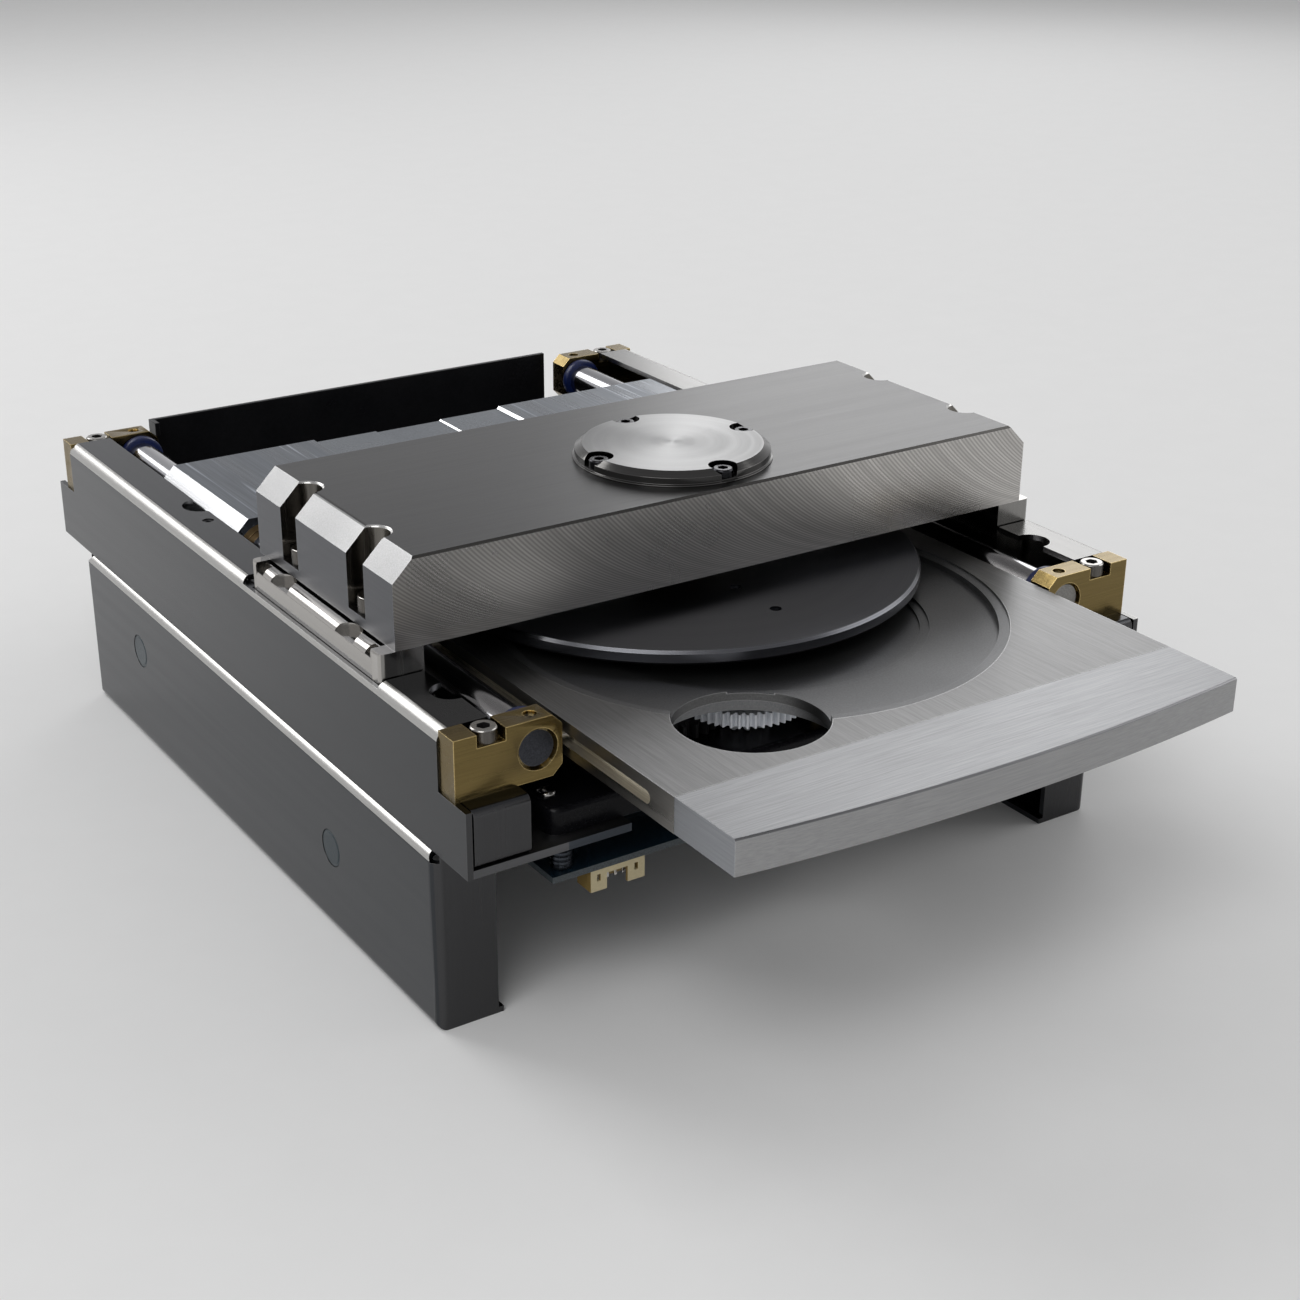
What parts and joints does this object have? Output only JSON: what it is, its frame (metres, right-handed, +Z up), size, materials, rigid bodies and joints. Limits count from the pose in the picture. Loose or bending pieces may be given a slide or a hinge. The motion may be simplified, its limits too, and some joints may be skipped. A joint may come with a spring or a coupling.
{
  "type": "disc transport mechanism",
  "caption": "Bare optical disc transport: folded steel side frames, a machined sliding tray on guide shafts, a steel bridge with an overhead turntable and a lift deck below.",
  "frame": {"origin": "centre of the four base bolt holes, in the plane that the feet rest on", "axes": "+Z up, +Y from the tray front to the rear, +X to the right seen from the front"},
  "size_m": [0.202, 0.3171, 0.1087],
  "materials": {
    "plate_nickel": "satin nickel on folded steel",
    "rail_nickel": "satin nickel on folded steel",
    "bracket_steel": "satin nickel",
    "base_steel": "plated sheet",
    "stud_steel": "knurled face",
    "brass": "brushed",
    "screw_steel": "plated",
    "screw_black": "black oxide",
    "shaft_steel": "ground and polished",
    "collar_blue": "soft dark blue",
    "bridge_steel": "milled and ground",
    "bridge_base_steel": "milled",
    "cap_steel": "turned",
    "bush_bronze": "sintered",
    "motor_copper": "wound",
    "frame_black": "moulded",
    "board_dark": "solder mask",
    "standoff_steel": "plated",
    "connector_cream": "moulded",
    "pin_tin": "tinned",
    "motor_can": "drawn can",
    "panel_black": "black satin",
    "tray_aluminium": "brushed, blasted recess",
    "band_aluminium": "brushed",
    "carriage_aluminium": "milled",
    "gear_black": "moulded",
    "gear_white": "moulded",
    "pinion_brass": "cut",
    "turntable_dark": "dark anodised",
    "magnet_dark": "sintered",
    "deck_aluminium": "machined",
    "clamper_black": "moulded",
    "sled_zinc": "die cast",
    "lens_glass": "coated"
  },
  "bodies": {
    "chassis": {"lower_side_plate_left": "plate_nickel", "lower_side_plate_right": "plate_nickel", "clinch_studs": "stud_steel", "base_plate": "base_steel", "upper_rail_left": "rail_nickel", "upper_rail_right": "rail_nickel", "front_corner_brackets": "bracket_steel", "rear_corner_brackets": "bracket_steel", "shaft_block_front_right": "brass", "shaft_block_front_left": "brass", "shaft_block_rear_right": "brass", "shaft_block_rear_left": "brass", "clamp_screws": "screw_steel", "set_screws": "screw_steel", "guide_shaft_right": "shaft_steel", "guide_shaft_left": "shaft_steel", "bumper_collars": "collar_blue", "tray_guide_pins": "shaft_steel", "bridge_base_left": "bridge_base_steel", "bridge_base_right": "bridge_base_steel", "bridge": "bridge_steel", "bridge_screws": "screw_steel", "bearing_cap": "cap_steel", "cap_screws": "screw_black", "spindle_bearings": "bush_bronze", "spindle_stator": "motor_copper", "loader_frame": "frame_black", "pan_screws": "screw_steel", "circuit_board": "board_dark", "board_standoffs": "standoff_steel", "connector_housing": "connector_cream", "connector_pins": "pin_tin", "load_motor": "motor_can", "lift_motor": "motor_can", "lift_posts": "shaft_steel", "rear_panel": "panel_black"},
    "tray": {"tray_plate": "tray_aluminium", "tray_front_band": "band_aluminium", "tray_carriage": "carriage_aluminium", "shaft_bushes": "bush_bronze", "tray_rack": "gear_black", "tray_screws": "screw_steel"},
    "turntable": {"turntable": "turntable_dark", "turntable_spindle": "shaft_steel", "rotor_magnet": "magnet_dark"},
    "lift_deck": {"lift_deck": "deck_aluminium", "sled_shafts": "shaft_steel", "clamper_bearing": "bush_bronze", "sled_motor": "motor_can"},
    "load_gear": {"load_gear": "gear_black"},
    "load_motor_pinion": {"load_motor_pinion": "pinion_brass"},
    "slide_cam": {"slide_cam": "gear_black"},
    "cam_gear": {"cam_gear": "gear_black"},
    "lift_gear": {"lift_gear": "gear_white"},
    "lift_motor_pinion": {"lift_motor_pinion": "pinion_brass"},
    "clamper": {"disc_clamper": "clamper_black"},
    "optical_sled": {"optical_sled": "sled_zinc"},
    "pickup_lens": {"pickup_lens": "lens_glass"},
    "lead_screw": {"lead_screw": "shaft_steel"}
  },
  "joints": [
    {"name": "tray_slide", "type": "slide", "parent": "chassis", "child": "tray", "axis": [0, 1, 0], "range_m": [-0.053, 0.0349]},
    {"name": "turntable_spin", "type": "hinge", "parent": "chassis", "child": "turntable", "pos_m": [0, -0.05365, 0.0785], "axis": [0, 0, 1], "continuous": true},
    {"name": "load_gear_spin", "type": "hinge", "parent": "chassis", "child": "load_gear", "pos_m": [0.05, -0.10365, 0.058], "axis": [0, 0, 1], "range_deg": [-381, 251]},
    {"name": "load_motor_spin", "type": "hinge", "parent": "chassis", "child": "load_motor_pinion", "pos_m": [0.03, -0.10365, 0.056], "axis": [0, 0, 1], "range_deg": [-1001, 1520]},
    {"name": "lift_slide", "type": "slide", "parent": "chassis", "child": "lift_deck", "axis": [0, 0, 1], "range_m": [0, 0.01]},
    {"name": "cam_slide", "type": "slide", "parent": "chassis", "child": "slide_cam", "axis": [1, 0, 0], "range_m": [0, 0.02]},
    {"name": "cam_gear_spin", "type": "hinge", "parent": "chassis", "child": "cam_gear", "pos_m": [-0.0284, -0.09435, 0.0566], "axis": [0, 0, 1], "range_deg": [-96, 1]},
    {"name": "lift_gear_spin", "type": "hinge", "parent": "chassis", "child": "lift_gear", "pos_m": [-0.01322, -0.10402, 0.059], "axis": [0, 0, 1], "range_deg": [-1, 192]},
    {"name": "lift_motor_spin", "type": "hinge", "parent": "chassis", "child": "lift_motor_pinion", "pos_m": [0.00426, -0.11038, 0.061], "axis": [0, 0, 1], "range_deg": [-797, 1]},
    {"name": "clamper_spin", "type": "hinge", "parent": "lift_deck", "child": "clamper", "pos_m": [0, -0.05365, 0.0625], "axis": [0, 0, 1], "continuous": true},
    {"name": "sled_slide", "type": "slide", "parent": "lift_deck", "child": "optical_sled", "axis": [0, 1, 0], "range_m": [-0.002, 0.034]},
    {"name": "lead_screw_spin", "type": "hinge", "parent": "lift_deck", "child": "lead_screw", "pos_m": [0.032, -0.012, 0.052], "axis": [0, 1, 0], "range_deg": [-241, 4081]},
    {"name": "focus_slide", "type": "slide", "parent": "optical_sled", "child": "pickup_lens", "axis": [0, 0, 1], "range_m": [-0.0005, 0.0005], "stiffness_N_per_m": 400}
  ],
  "couplings": [
    {"joint": "load_gear_spin", "follows": "tray_slide", "rad_per_m": 125},
    {"joint": "load_motor_spin", "follows": "tray_slide", "rad_per_m": -500},
    {"joint": "cam_slide", "follows": "lift_slide", "ratio": 2},
    {"joint": "cam_gear_spin", "follows": "lift_slide", "rad_per_m": -166.67},
    {"joint": "lift_gear_spin", "follows": "lift_slide", "rad_per_m": 333.33},
    {"joint": "lift_motor_spin", "follows": "lift_slide", "rad_per_m": -1388.9},
    {"joint": "lead_screw_spin", "follows": "sled_slide", "rad_per_m": 2094.4}
  ]
}
